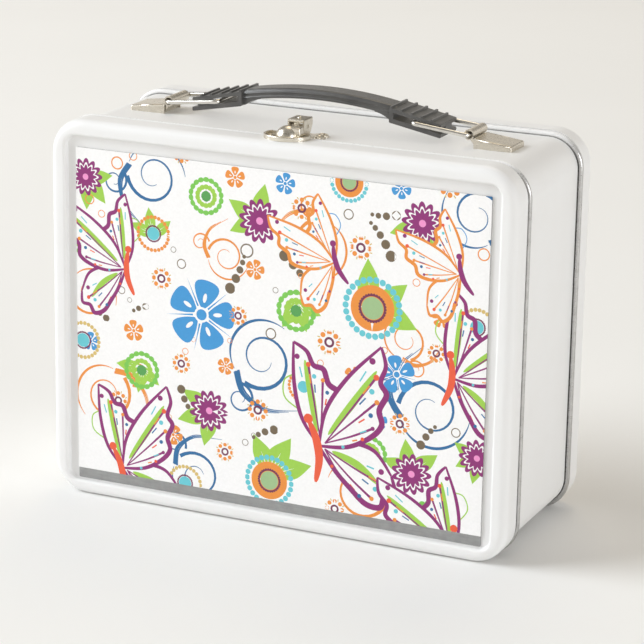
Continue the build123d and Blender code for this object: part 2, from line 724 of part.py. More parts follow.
def block_top_z(x):
    """Height of the grip block's top face at x from the handle's middle."""
    run = (x - GRIP_BLOCK_INNER_X) / (GRIP_BLOCK_OUTER_X - GRIP_BLOCK_INNER_X)
    return GRIP_BLOCK_TOP_INNER_Z + run * (GRIP_BLOCK_TOP_OUTER_Z - GRIP_BLOCK_TOP_INNER_Z)


def grip_shoulder():
    """The swept web under the bar where it meets the right end block."""
    x0 = GRIP_BLOCK_INNER_X
    start = (x0 - SHOULDER_LENGTH, SHOULDER_START_Z)
    middle = (x0 - SHOULDER_MIDDLE[0], SHOULDER_MIDDLE[1])
    end = (x0 - SHOULDER_END[0], SHOULDER_END[1])
    outline = Wire(
        [
            ThreePointArc(start, middle, end),
            Line(end, (x0 + 1, end[1])),
            Line((x0 + 1, end[1]), (x0 + 1, SHOULDER_ROOF_Z)),
            Line((x0 + 1, SHOULDER_ROOF_Z), (start[0], SHOULDER_ROOF_Z)),
            Line((start[0], SHOULDER_ROOF_Z), start),
        ]
    )
    plane = front_plane(GRIP_BAR_HALF_WIDTH)
    return extrude(plane * make_face(outline), 2 * GRIP_BAR_HALF_WIDTH)


def grip_rib(x):
    """One rib across the end block's top at x."""
    z = block_top_z(x)
    low = RIB_WIDTH / 2
    high = RIB_WIDTH / 2 - RIB_TAPER
    points = [
        (x - low, z - RIB_HEIGHT),
        (x + low, z - RIB_HEIGHT),
        (x + high, z + RIB_HEIGHT),
        (x - high, z + RIB_HEIGHT),
    ]
    return side_profile(points, GRIP_BLOCK_HALF_WIDTH)


def grip_block():
    """The right end block with its shoulder, its ribs and the slot for the bail."""
    x0 = GRIP_BLOCK_INNER_X
    x1 = GRIP_BLOCK_OUTER_X
    body = side_profile(
        [
            (x0, GRIP_BLOCK_LOW_INNER_Z),
            (x1, GRIP_BLOCK_LOW_OUTER_Z),
            (x1, GRIP_BLOCK_TOP_OUTER_Z),
            (x0, GRIP_BLOCK_TOP_INNER_Z),
        ],
        GRIP_BLOCK_HALF_WIDTH,
    )
    grip = fillet(body.edges().filter_by(Axis.Y), GRIP_BLOCK_EDGE_RADIUS) + grip_shoulder()
    for i in range(RIB_COUNT):
        grip = grip + grip_rib(RIB_FIRST_X + i * RIB_PITCH)
    grip = grip - slot_cut(SLOT_INNER_X, SLOT_OUTER_X, GRIP_BLOCK_HALF_WIDTH + REACH)
    open_end = slot_cut(SLOT_OUTER_X - 0.01, x1 + REACH, GRIP_BLOCK_HALF_WIDTH + REACH)
    web = slot_cut(SLOT_OUTER_X - REACH, x1 + 2 * REACH, WEB_HALF_WIDTH)
    return grip - (open_end - web)


def make_handle_grip():
    end = grip_block()
    grip = grip_bar() + end + mirrored_x(end)
    return Pos(HANDLE_X, 0, 0) * grip


def parts():
    """Every node's name and shape."""
    named = {
        "body_band": make_body_band(),
        "front_rim_bead": bead(FRONT_BEAD_Y, HINGE_HALF_LENGTH + BEAD_HINGE_GAP),
        "rear_seam_bead": bead(REAR_BEAD_Y, 0),
        "back_pan": make_back_pan(),
        "front_lid": make_front_lid(),
        "insert_backing_plate": make_insert_backing_plate(),
        "printed_insert": make_printed_insert(),
        "body_hinge_leaf": make_body_hinge_leaf(),
        "lid_hinge_leaf": make_lid_hinge_leaf(),
        "hinge_pin": make_hinge_pin(),
        "latch_base": make_latch_base(),
        "latch_rivets": make_latch_rivets(),
        "latch_pin": make_latch_pin(),
        "latch_lever": make_latch_lever(),
        "keeper_plate": make_keeper_plate(),
        "keeper_boss": make_keeper_boss(),
        "keeper_rivets": make_keeper_rivets(),
        "clip_rivets": make_clip_rivets(),
        "handle_grip": make_handle_grip(),
    }
    for side, word in ((-1, "left"), (1, "right")):
        named["clip_cover_" + word] = make_clip_cover(side)
        named["clip_strap_" + word] = make_clip_strap(side)
        named["clip_backing_plate_" + word] = make_clip_backing_plate(side)
        named["bail_" + word] = make_bail(side)
    return named


os.makedirs("parts", exist_ok=True)
for name, shape in parts().items():
    export_step(shape, "parts/" + name + ".step")
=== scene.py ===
"""Looks of the metal lunch box: materials, decorated insert, fine pieces, floor, light and camera.

Everything is in metres in the CAD frame: X right, Y back, Z up, origin at the middle of the base.
The decoration is laid out in millimetres from the middle of the insert (u right, v up).
"""
import json
import math

import bmesh
import bpy
from mathutils import Matrix, Vector
from mathutils.geometry import delaunay_2d_cdt


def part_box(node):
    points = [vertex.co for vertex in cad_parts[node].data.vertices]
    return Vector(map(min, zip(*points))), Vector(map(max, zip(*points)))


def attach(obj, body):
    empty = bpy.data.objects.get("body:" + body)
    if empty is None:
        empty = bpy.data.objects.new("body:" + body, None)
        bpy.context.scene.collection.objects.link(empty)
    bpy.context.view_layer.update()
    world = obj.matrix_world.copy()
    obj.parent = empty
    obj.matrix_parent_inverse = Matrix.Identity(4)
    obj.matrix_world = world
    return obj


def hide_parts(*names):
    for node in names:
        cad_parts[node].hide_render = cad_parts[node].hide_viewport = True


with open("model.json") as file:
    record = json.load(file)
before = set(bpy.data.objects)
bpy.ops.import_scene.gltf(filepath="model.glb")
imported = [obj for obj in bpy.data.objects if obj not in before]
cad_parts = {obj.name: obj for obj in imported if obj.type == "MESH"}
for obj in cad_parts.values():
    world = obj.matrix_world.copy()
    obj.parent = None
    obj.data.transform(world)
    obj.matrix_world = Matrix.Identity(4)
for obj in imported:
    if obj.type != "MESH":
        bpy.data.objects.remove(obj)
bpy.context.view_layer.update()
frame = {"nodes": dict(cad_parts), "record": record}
NODES = frame["nodes"]
MM = 0.001


# ---------------------------------------------------------------- materials

def new_material(name):
    """An empty node material, its Principled shader and its node and link collections."""
    material = bpy.data.materials.new(name)
    material.use_nodes = True
    nodes = material.node_tree.nodes
    links = material.node_tree.links
    return material, nodes["Principled BSDF"], nodes, links


def noise(nodes, links, scale, detail=3.0, roughness=0.5, stretch=(1, 1, 1)):
    """A noise texture in object space; scale is in features per metre."""
    coordinates = nodes.new("ShaderNodeTexCoord")
    mapping = nodes.new("ShaderNodeMapping")
    mapping.inputs["Scale"].default_value = stretch
    texture = nodes.new("ShaderNodeTexNoise")
    texture.inputs["Scale"].default_value = scale
    texture.inputs["Detail"].default_value = detail
    texture.inputs["Roughness"].default_value = roughness
    links.new(coordinates.outputs["Object"], mapping.inputs["Vector"])
    links.new(mapping.outputs["Vector"], texture.inputs["Vector"])
    return texture.outputs["Fac"]


def ramp(nodes, links, value, low, high, low_position=0.3, high_position=0.7):
    """Maps a 0 to 1 value onto a span between two colours."""
    node = nodes.new("ShaderNodeValToRGB")
    node.color_ramp.elements[0].position = low_position
    node.color_ramp.elements[0].color = low
    node.color_ramp.elements[1].position = high_position
    node.color_ramp.elements[1].color = high
    links.new(value, node.inputs["Fac"])
    return node.outputs["Color"]


def spread(nodes, links, value, low, high):
    """Maps a 0 to 1 value onto a span between two numbers."""
    node = nodes.new("ShaderNodeMapRange")
    node.inputs["From Min"].default_value = 0.3
    node.inputs["From Max"].default_value = 0.7
    node.inputs["To Min"].default_value = low
    node.inputs["To Max"].default_value = high
    links.new(value, node.inputs["Value"])
    return node.outputs["Result"]


def bump(nodes, links, shader, height, strength, distance):
    """Feeds a height value to the shader's normal."""
    node = nodes.new("ShaderNodeBump")
    node.inputs["Strength"].default_value = strength
    node.inputs["Distance"].default_value = distance
    links.new(height, node.inputs["Height"])
    links.new(node.outputs["Normal"], shader.inputs["Normal"])


def grey(level, warm=0.0):
    """A linear colour of one brightness, slightly warm if asked."""
    return (level, level * (1 - warm * 0.4), level * (1 - warm), 1)


def enamel_material(name, level):
    """Satin white enamel with faint orange peel and a hint of unevenness."""
    material, shader, nodes, links = new_material(name)
    cloud = noise(nodes, links, 45, 3)
    paint = ramp(nodes, links, cloud, grey(level * 0.985, 0.012), grey(level, 0.004))
    links.new(paint, shader.inputs["Base Color"])
    links.new(spread(nodes, links, noise(nodes, links, 160, 3), 0.34, 0.42), shader.inputs["Roughness"])
    shader.inputs["Specular IOR Level"].default_value = 0.32
    bump(nodes, links, shader, noise(nodes, links, 700, 2), 0.06, 0.0002)
    return material


def metal_material(name, colour, dark, roughness, grain_scale, stretch):
    """Bare or plated metal with fine grain along one direction and slight tarnish."""
    material, shader, nodes, links = new_material(name)
    shader.inputs["Metallic"].default_value = 1.0
    tarnish = noise(nodes, links, 260, 5, 0.6)
    links.new(ramp(nodes, links, tarnish, (*dark, 1), (*colour, 1)), shader.inputs["Base Color"])
    grain = noise(nodes, links, grain_scale, 3, 0.55, stretch)
    links.new(spread(nodes, links, grain, roughness * 0.8, roughness * 1.25), shader.inputs["Roughness"])
    bump(nodes, links, shader, grain, 0.06, 0.0001)
    return material


def vinyl_material(name):
    """Black moulded vinyl with fine leathery grain and lint-like variation."""
    material, shader, nodes, links = new_material(name)
    cloud = noise(nodes, links, 120, 4)
    links.new(ramp(nodes, links, cloud, grey(0.04, 0.03), grey(0.075, 0.08)), shader.inputs["Base Color"])
    links.new(spread(nodes, links, noise(nodes, links, 900, 3), 0.3, 0.4), shader.inputs["Roughness"])
    shader.inputs["Specular IOR Level"].default_value = 1.0
    bump(nodes, links, shader, noise(nodes, links, 2600, 3), 0.16, 0.0002)
    return material


def height_mask(nodes, links, low, high):
    """0 below a height and 1 above another, in metres over the base; the nodes share its origin."""
    coordinates = nodes.new("ShaderNodeTexCoord")
    split = nodes.new("ShaderNodeSeparateXYZ")
    span = nodes.new("ShaderNodeMapRange")
    span.inputs["From Min"].default_value = low
    span.inputs["From Max"].default_value = high
    links.new(coordinates.outputs["Object"], split.inputs["Vector"])
    links.new(split.outputs["Z"], span.inputs["Value"])
    return span.outputs["Result"]


def blend(nodes, links, factor, a, b):
    """Mixes two colours by a factor."""
    mix = nodes.new("ShaderNodeMix")
    mix.data_type = "RGBA"
    links.new(factor, mix.inputs["Factor"])
    links.new(a, mix.inputs["A"])
    links.new(b, mix.inputs["B"])
    return mix.outputs["Result"]


def bead_material(name):
    """Bare metal round the sides; along the top the bead is painted white, a painted reflection of the
    bright ceiling.
    """
    material, shader, nodes, links = new_material(name)
    # Painted reflection: this mask is 1 along the top, where the metal turns white as if it mirrored the
    # ceiling.
    painted = height_mask(nodes, links, 0.166, 0.1735)
    cloud = noise(nodes, links, 260, 5, 0.6)
    metal = ramp(nodes, links, cloud, (0.50, 0.495, 0.49, 1), (0.62, 0.615, 0.61, 1))
    # The white of the painted reflection along the top, not enamel.
    paint = ramp(nodes, links, cloud, grey(0.83, 0.012), grey(0.86, 0.004))
    links.new(blend(nodes, links, painted, metal, paint), shader.inputs["Base Color"])
    bare = nodes.new("ShaderNodeMath")
    bare.operation = "SUBTRACT"
    bare.inputs[0].default_value = 1.0
    links.new(painted, bare.inputs[1])
    links.new(bare.outputs["Value"], shader.inputs["Metallic"])
    grain = noise(nodes, links, 900, 3, 0.55)
    links.new(spread(nodes, links, grain, 0.24, 0.36), shader.inputs["Roughness"])
    bump(nodes, links, shader, grain, 0.12, 0.0001)
    return material


def crevice_material(name):
    """Painted shade where sheet meets bead: dark round the sides, lighter along the top where the ceiling
    light reaches in.
    """
    material, shader, nodes, links = new_material(name)
    shade_mottle = noise(nodes, links, 300, 4)
    dark = ramp(nodes, links, shade_mottle, grey(0.035, 0.1), grey(0.09, 0.12))
    faint = ramp(nodes, links, shade_mottle, grey(0.2, 0.04), grey(0.32, 0.04))
    # The painted shade is lighter along the top, where overhead light falls into the corner.
    height = height_mask(nodes, links, 0.163, 0.172)
    links.new(blend(nodes, links, height, dark, faint), shader.inputs["Base Color"])
    links.new(spread(nodes, links, noise(nodes, links, 800, 2), 0.6, 0.8), shader.inputs["Roughness"])
    return material


def print_material():
    """Printed ink on coated sheet: each face's own ink with a trace of print mottle."""
    material, shader, nodes, links = new_material("printed_sheet")
    ink = nodes.new("ShaderNodeAttribute")
    ink.attribute_name = "ink"
    mottle = ramp(nodes, links, noise(nodes, links, 900, 3), grey(0.955), grey(1.0))
    mix = nodes.new("ShaderNodeMix")
    mix.data_type = "RGBA"
    mix.blend_type = "MULTIPLY"
    mix.inputs["Factor"].default_value = 1.0
    links.new(ink.outputs["Color"], mix.inputs["A"])
    links.new(mottle, mix.inputs["B"])
    links.new(mix.outputs["Result"], shader.inputs["Base Color"])
    links.new(spread(nodes, links, noise(nodes, links, 400, 2), 0.36, 0.46), shader.inputs["Roughness"])
    bump(nodes, links, shader, noise(nodes, links, 1500, 2), 0.03, 0.0001)
    return material


def linear(r, g, b):
    """Display colour, 0 to 255, as linear values."""
    return tuple(((c / 255 + 0.055) / 1.055) ** 2.4 if c > 10 else c / 255 / 12.92 for c in (r, g, b))


ENAMEL = enamel_material("white_enamel", 0.84)
BEAD_METAL_AND_SHEEN = bead_material("seam_bead")
WIRE_METAL = metal_material("bright_wire", (0.86, 0.84, 0.80), (0.70, 0.68, 0.63), 0.17, 900, (1, 1, 1))
NICKEL = metal_material("nickel_plate", (0.79, 0.745, 0.655), (0.68, 0.63, 0.54), 0.29, 1600, (0.15, 1, 1))
TIN = metal_material("bare_tin", (0.40, 0.405, 0.405), (0.345, 0.345, 0.345), 0.5, 1400, (0.1, 1, 1))
VINYL = vinyl_material("black_vinyl")
# Painted shade for the corners beside the seam beads.
CREVICE = crevice_material("painted_seam_shade")

CAD_MATERIALS = {
    "painted_white": ENAMEL,
    "bright_wire": WIRE_METAL,
    "nickel_sheet": NICKEL,
    "bare_tin": TIN,
    "printed_panel": ENAMEL,
    "black_grip": VINYL,
}


def dress_cad_nodes():
    """Gives every CAD node the material of its slot."""
    for entry in frame["record"]["subparts"]:
        node = NODES[entry["node"]]
        material = CAD_MATERIALS[entry["material_slot"]]
        if entry["node"].endswith("_bead"):
            material = BEAD_METAL_AND_SHEEN
        for slot in node.material_slots:
            slot.material = material


dress_cad_nodes()


# ---------------------------------------------------------------- flat drawing

def polar(centre, radius, angle):
    """The point at a distance and angle from a centre."""
    return (centre[0] + radius * math.cos(angle), centre[1] + radius * math.sin(angle))


def smooth(points, steps=8, closed=False):
    """A Catmull-Rom curve through a few points."""
    count = len(points)
    curve = []
    spans = count if closed else count - 1
    for i in range(spans):
        if closed:
            a, b, c, d = (points[(i + k - 1) % count] for k in range(4))
        else:
            a, b, c, d = (points[min(max(i + k - 1, 0), count - 1)] for k in range(4))
        for s in range(steps):
            t = s / steps
            curve.append(
                tuple(
                    0.5 * (2 * b[k] + (c[k] - a[k]) * t + (2 * a[k] - 5 * b[k] + 4 * c[k] - d[k]) * t * t
                           + (3 * b[k] - a[k] - 3 * c[k] + d[k]) * t**3)
                    for k in range(2)
                )
            )
    if not closed:
        curve.append(points[-1])
    return curve


class Drawing:
    """Flat shapes in layers: each has the triangles it covers, its outlines, an ink and a level."""

    def __init__(self):
        self.shapes = []

    def fan(self, centre, outline, colour, level):
        """A filled outline that the centre sees all round."""
        cells = [(centre, p, q) for p, q in zip(outline, outline[1:] + outline[:1])]
        self.shapes.append((cells, [outline], colour, level))

    def between(self, a, b, colour, level, closed=False):
        """The strip between two lines of points."""
        cells = []
        for i in range(len(a) if closed else len(a) - 1):
            j = (i + 1) % len(a)
            cells.append((a[i], a[j], b[j]))
            cells.append((a[i], b[j], b[i]))
        outlines = [a, b] if closed else [a + b[::-1]]
        self.shapes.append((cells, outlines, colour, level))

    def disc(self, centre, radius, colour, level):
        """A filled circle."""
        steps = max(12, min(40, int(radius * 6)))
        outline = [polar(centre, radius, 2 * math.pi * i / steps) for i in range(steps)]
        self.fan(centre, outline, colour, level)

    def ring(self, centre, inner, outer, colour, level):
        """The band between two circles."""
        steps = max(16, min(48, int(outer * 7)))
        turns = [2 * math.pi * i / steps for i in range(steps)]
        rim = [polar(centre, outer, t) for t in turns]
        hole = [polar(centre, inner, t) for t in turns]
        self.between(rim, hole, colour, level, True)

    def stroke(self, points, width, colour, level, closed=False):
        """A line whose width at 0 to 1 along it is width(t), or a constant."""
        left, right = [], []
        count = len(points)
        for i, p in enumerate(points):
            if closed:
                before, after = points[i - 1], points[(i + 1) % count]
            else:
                before, after = points[max(i - 1, 0)], points[min(i + 1, count - 1)]
            dx, dy = after[0] - before[0], after[1] - before[1]
            size = math.hypot(dx, dy) or 1.0
            t = i / (count if closed else count - 1)
            half = (width(t) if callable(width) else width) / 2
            nx, ny = -dy / size * half, dx / size * half
            left.append((p[0] + nx, p[1] + ny))
            right.append((p[0] - nx, p[1] - ny))
        self.between(left, right, colour, level, closed)


def swell(low, high, power=1.0):
    """A width that is low at both ends and high in the middle."""
    return lambda t: low + (high - low) * math.sin(math.pi * t) ** power


def taper(start, end, power=1.0):
    """A width that goes from start to end."""
    return lambda t: start + (end - start) * t**power


class Placed:
    """Turns, scales and moves points of a motif drawn about its own origin."""

    def __init__(self, u, v, size=1.0, angle=0.0, flip=False):
        self.u, self.v, self.size, self.flip = u, v, size, flip
        self.cos = math.cos(math.radians(angle))
        self.sin = math.sin(math.radians(angle))

    def __call__(self, x, y):
        if self.flip:
            x = -x
        x, y = x * self.size, y * self.size
        return (self.u + x * self.cos - y * self.sin, self.v + x * self.sin + y * self.cos)

    def all(self, points):
        return [self(x, y) for x, y in points]


def daisy(art, u, v, radius, colour, angle=90):
    """Five broad petals with a pale slot in each, hair lines between, and a ringed centre."""
    for k in range(5):
        place = Placed(u, v, radius, angle + 72 * k)
        outline = []
        for i in range(28):
            t = 2 * math.pi * i / 28
            along = 0.60 + 0.39 * math.cos(t) - 0.035 * math.cos(2 * t)
            across = 0.335 * math.sin(t) * (1.0 + 0.42 * math.cos(t))
            outline.append((along, across))
        art.fan(place(0.6, 0), place.all(outline), colour, 4)
        turns = [t * math.pi / 8 for t in range(16)]
        slot = [(0.47 + 0.13 * math.cos(t), 0.055 * math.sin(t)) for t in turns]
        art.fan(place(0.47, 0), place.all(slot), "ground", 5)
        if radius > 8:
            spike = Placed(u, v, radius, angle + 72 * k + 36)
            art.stroke(spike.all([(0.25, 0), (0.6, 0.0), (1.02, 0)]), taper(0.05 * radius, 0.02), colour, 3)
            for side in (-1, 1):
                hair = spike.all([(0.22, 0.05 * side), (0.55, 0.045 * side), (0.9, 0.05 * side)])
                art.stroke(hair, 0.022 * radius, "ground", 5)
    art.disc((u, v), radius * 0.21, "ground", 6)
    art.ring((u, v), radius * 0.0, radius * 0.15, colour, 7)


def star_outline(u, v, outer, inner, points, angle, power=1.0):
    """An outline with rounded points."""
    outline = []
    steps = points * 8
    for i in range(steps):
        t = 2 * math.pi * i / steps
        wave = abs(math.cos(points * t / 2)) ** power
        outline.append(polar((u, v), inner + (outer - inner) * wave, t + math.radians(angle)))
    return outline


def rosette(art, u, v, radius, angle=0):
    """A many-pointed purple flower with a pale zigzag ring and a pink eye."""
    art.fan((u, v), star_outline(u, v, radius, radius * 0.73, 13, angle), "purple", 5)
    art.fan((u, v), star_outline(u, v, radius * 0.78, radius * 0.55, 13, angle, 1.5), "ground", 6)
    art.fan((u, v), star_outline(u, v, radius * 0.66, radius * 0.46, 13, angle, 1.5), "purple", 7)
    art.disc((u, v), radius * 0.17, "pink", 8)


def scallops(art, u, v, outer, inner, count, colour, level):
    """A ring with small rounded lobes inside and out."""
    steps = count * 6
    a, b = [], []
    for i in range(steps):
        t = 2 * math.pi * i / steps
        wave = abs(math.sin(count * t / 2)) ** 0.6
        a.append(polar((u, v), outer * (0.92 + 0.08 * wave), t))
        b.append(polar((u, v), inner * (1.08 - 0.08 * wave), t))
    art.between(a, b, colour, level, True)


def green_flower(art, u, v, radius):
    """Two lobed green rings round a green eye."""
    scallops(art, u, v, radius, radius * 0.74, 18, "green", 4)
    scallops(art, u, v, radius * 0.62, radius * 0.36, 14, "leaf", 4)
    scallops(art, u, v, radius * 0.28, 0.0, 12, "forest", 5)


def bead_ring(art, u, v, radius, bead, count, colour, level):
    """Equal dots round a circle."""
    for i in range(count):
        art.disc(polar((u, v), radius, 2 * math.pi * i / count), bead, colour, level)


def bead_flower(art, u, v, radius, outer, middle, eye):
    """A ring of beads, a filled or open disc, a dark toothed ring and an eye."""
    bead_ring(art, u, v, radius * 0.9, radius * 0.105, 26, outer, 5)
    if middle:
        art.disc((u, v), radius * 0.73, middle, 6)
    bead_ring(art, u, v, radius * 0.43, radius * 0.045, 30, "plum", 7)
    art.ring((u, v), radius * 0.38, radius * 0.44, "plum", 7)
    art.disc((u, v), radius * 0.36, eye, 8)


def seed_flower(art, u, v, radius):
    """Eight orange dots with short ticks round a plum ring."""
    for i in range(8):
        turn = 2 * math.pi * i / 8
        art.disc(polar((u, v), radius * 0.72, turn), radius * 0.2, "orange", 5)
        tick = turn + math.pi / 8
        line = [polar((u, v), radius * 0.78, tick), polar((u, v), radius, tick + 0.06)]
        art.stroke(line, radius * 0.09, "khaki", 5)
    art.ring((u, v), radius * 0.22, radius * 0.4, "plum", 6)


def leaf(art, u, v, length, angle, side):
    """A pointed leaf, fuller on one side (1 or -1), with pale veins near its base."""
    place = Placed(u, v, length, angle)
    left = smooth([(0, 0), (0.22, 0.25 * side), (0.55, 0.27 * side), (1, 0.03 * side)], 6)
    right = smooth([(0, 0), (0.25, -0.13 * side), (0.6, -0.16 * side), (1, 0.03 * side)], 6)
    art.between(place.all(left), place.all(right), "leaf", 2)
    for reach, lift in ((0.6, 0.05), (0.42, 0.15), (0.4, -0.04)):
        vein = smooth([(0.1, 0.01 * side), (0.3, lift * 0.7 * side), (reach, lift * side)], 4)
        art.stroke(place.all(vein), taper(0.045 * length, 0.01), "ground", 3)


def leaves(art, u, v, length, angles):
    """Leaves from one point, whose fuller sides alternate; the second is a little shorter."""
    for k, angle in enumerate(angles):
        leaf(art, u, v, length * (1.0 if k != 1 else 0.92), angle, -1 if k % 2 else 1)


def dot_trail(art, u, v, angle, bend, radii):
    """Dots that shrink along a gently bent line."""
    heading = math.radians(angle)
    x, y = u, v
    for i, radius in enumerate(radii):
        art.disc((x, y), radius, "taupe", 3)
        if i + 1 < len(radii):
            step = (radius + radii[i + 1]) * 1.12 + 0.35
            x += step * math.cos(heading)
            y += step * math.sin(heading)
            heading += math.radians(bend)


def bubbles(art, colour, rings):
    """Small open rings at (u, v, radius)."""
    for u, v, radius in rings:
        art.ring((u, v), radius * 0.8, radius, colour, 3)


CURL_STEPS = 36


def curl(place, start, turns, r0, r1):
    """A spiral from radius r0 to r1 about the motif's origin; start and turns are in degrees."""
    points = []
    for i in range(CURL_STEPS + 1):
        t = i / CURL_STEPS
        radius = r0 + (r1 - r0) * t**0.85
        points.append(polar((0, 0), radius, math.radians(start + turns * t)))
    return place.all(points)


def scroll(art, u, v, size, angle, colour, flip=False):
    """A flourish: a heavy crescent that winds inwards, a counter-curl and thin tendrils."""
    place = Placed(u, v, size, angle, flip)
    art.stroke(curl(place, 205, 470, 1.0, 0.3), taper(0.15 * size, 0.25, 0.6), colour, 1)
    art.stroke(curl(place, 175, -150, 1.0, 1.22), swell(0.25, 0.09 * size), colour, 1)
    small = Placed(*place(-1.3, -0.8), size * 0.44, angle + 30, flip)
    art.stroke(curl(small, 30, -500, 1.15, 0.28), taper(0.1 * size, 0.25, 0.7), colour, 1)
    for start, reach, width in ((-0.98, 0.0, 0.13), (-0.9, 0.42, 0.08), (-1.05, -0.3, 0.06)):
        tail = [(start, 0.0), (start - 0.12, -0.7), (start + 0.3, -1.4), (reach, -1.75 - reach * 0.3)]
        art.stroke(place.all(smooth(tail, 9)), taper(width * size, 0.2), colour, 1)


# Each wing has its front edge, its scalloped hem and the middle line of its coloured band.
LONG_WING = (
    ((0, 0), (-0.06, 0.34), (0.02, 0.72), (0.2, 1.12)),
    (
        (0.2, 1.12), (0.3, 0.98), (0.31, 0.82), (0.4, 0.74), (0.39, 0.58),
        (0.46, 0.46), (0.4, 0.3), (0.24, 0.12), (0, 0),
    ),
    ((0.04, 0.14), (0.14, 0.5), (0.24, 0.9)),
)
ROUND_WING = (
    ((0, 0), (0.02, 0.3), (0.16, 0.56), (0.44, 0.66)),
    ((0.44, 0.66), (0.6, 0.64), (0.62, 0.52), (0.72, 0.44), (0.66, 0.3), (0.5, 0.2), (0.26, 0.08), (0, 0)),
    ((0.08, 0.12), (0.26, 0.34), (0.5, 0.5)),
)
SPOT_INKS = ("purple", "coral", "cyan", "orange", "navy")


def wing(art, place, size, edge, lean, scale, outline, band, level):
    """One wing: an edge line that swells, fanned veins, a coloured band and a row of spots."""
    cos, sin = scale * math.cos(lean), scale * math.sin(lean)

    def own(points):
        return place.all([(x * cos - y * sin, x * sin + y * cos) for x, y in points])

    front, hem, middle = (smooth(line, 8) for line in outline)
    heart = outline[2][1]
    art.fan(own([heart])[0], own(front[:-1] + hem[:-1]), "ground", level)
    if band:
        art.stroke(own(middle), swell(0.01 * size, 0.07 * size, 0.7), band, level + 1)
    art.stroke(own(front), swell(0.02 * size, 0.04 * size), edge, level + 3)
    art.stroke(own(hem), swell(0.02 * size, 0.055 * size, 0.6), edge, level + 3)
    for x, y in outline[1][1:-2:2]:
        ray = [(0.04, 0.05), (x * 0.5 + 0.01, y * 0.5), (x * 0.84, y * 0.84)]
        art.stroke(own(smooth(ray, 6)), taper(0.012 * size, 0.024 * size), edge, level + 2)
    for k, (x, y) in enumerate(outline[1][:-1]):
        spot = own([(x * 0.86, y * 0.86)])[0]
        art.disc(spot, (0.03 - 0.002 * k) * size * scale, SPOT_INKS[k % 5], level + 4)
        tick = [(x * 0.66, y * 0.66), (x * 0.76, y * 0.76)]
        art.stroke(own(tick), 0.014 * size, SPOT_INKS[(k + 2) % 5], level + 2)


def butterfly(art, u, v, size, angle, flip=False, edge="purple", body="coral", band="leaf"):
    """A side-on butterfly: two long forewings, a round hindwing, a body and two feelers."""
    place = Placed(u, v, size, angle, flip)
    wing(art, place, size, edge, math.radians(34), 0.84, LONG_WING, band, 8)
    wing(art, place, size, edge, math.radians(-62), 0.9, ROUND_WING, band, 13)
    wing(art, place, size, edge, math.radians(-12), 1.0, LONG_WING, band, 18)
    trunk = smooth([(-0.13, 0.2), (-0.04, 0.06), (0.02, -0.12), (0.02, -0.34)], 6)
    art.stroke(place.all(trunk), swell(0.02 * size, 0.08 * size, 0.6), body, 24)
    art.disc(place(-0.14, 0.22), 0.045 * size, body, 24)
    feeler_ink = "leaf" if edge == "purple" else "sky"
    for reach in (0.0, 0.12):
        line = [(-0.15, 0.25), (-0.26 - reach, 0.34), (-0.3 - reach, 0.5), (-0.22 - reach, 0.58)]
        art.stroke(place.all(smooth(line, 6)), 0.014 * size, feeler_ink, 7)


def lay_scrolls(art):
    """Flourishes at (u, v, size, angle, ink, flipped), under everything else."""
    for u, v, size, angle, colour, flip in (
        (-6, -10, 15, 30, "navy", False), (74, -22, 15, 200, "navy", True),
        (-60, 66, 13, -20, "navy", False), (-84, -38, 13, 70, "orange", True),
        (20, 44, 12, 250, "orange", False), (42, -64, 13, 10, "orange", True),
        (92, 66, 13, 120, "navy", False), (-92, 8, 11, -40, "orange", False),
        (-38, -70, 12, 160, "navy", True), (62, 8, 9, 80, "orange", False),
        (-24, 34, 9, 190, "orange", True),
    ):
        scroll(art, u, v, size, angle, colour, flip)


def lay_butterflies(art):
    """Five filled butterflies and two in outline only."""
    butterfly(art, 22, -46, 50, -8)
    butterfly(art, -74, 22, 36, 24, flip=True)
    butterfly(art, 84, -6, 40, -24)
    butterfly(art, 28, 38, 32, 40, flip=True, edge="orange", body="purple", band=None)
    butterfly(art, -76, -72, 42, -6)
    butterfly(art, 86, -84, 40, 30, flip=True)
    butterfly(art, 86, 40, 30, 40, flip=True, edge="orange", body="purple", band=None)


def lay_leaves(art):
    """Bunches of three leaves at (u, v, length, angles)."""
    for u, v, length, angles in (
        (46, 20, 22, (-20, 40, 95)), (-8, 52, 17, (150, 205, 80)),
        (-32, -38, 17, (200, 150, 260)), (-2, -64, 22, (60, 115, 20)),
        (68, 60, 16, (-60, -10, 200)), (-94, 62, 15, (-50, 10, -90)),
        (10, 18, 14, (-70, -20, -120)), (66, -52, 16, (100, 160, 40)),
        (-60, 40, 12, (100, 40, 160)), (-66, -22, 13, (-100, -40, 180)),
        (96, -40, 12, (150, 210, 260)),
    ):
        leaves(art, u, v, length, angles)


def lay_daisies(art):
    """Daisies at (u, v, radius, ink, angle), one of them large."""
    for u, v, radius, colour, angle in (
        (-36, 6, 17, "sky", 78), (58, -8, 9, "sky", 100), (4, 70, 5, "sky", 80),
        (-70, -6, 5.2, "orange", 95), (38, -12, 5, "orange", 70), (-20, 70, 5, "orange", 90),
        (-50, -52, 5, "orange", 60), (78, 20, 4.8, "orange", 90), (-10, 30, 4.8, "orange", 75),
        (-92, -14, 4.6, "sky", 90), (58, 74, 4.8, "sky", 60), (-24, -16, 4.2, "orange", 80),
        (50, -30, 4.4, "sky", 85),
    ):
        daisy(art, u, v, radius, colour, angle)


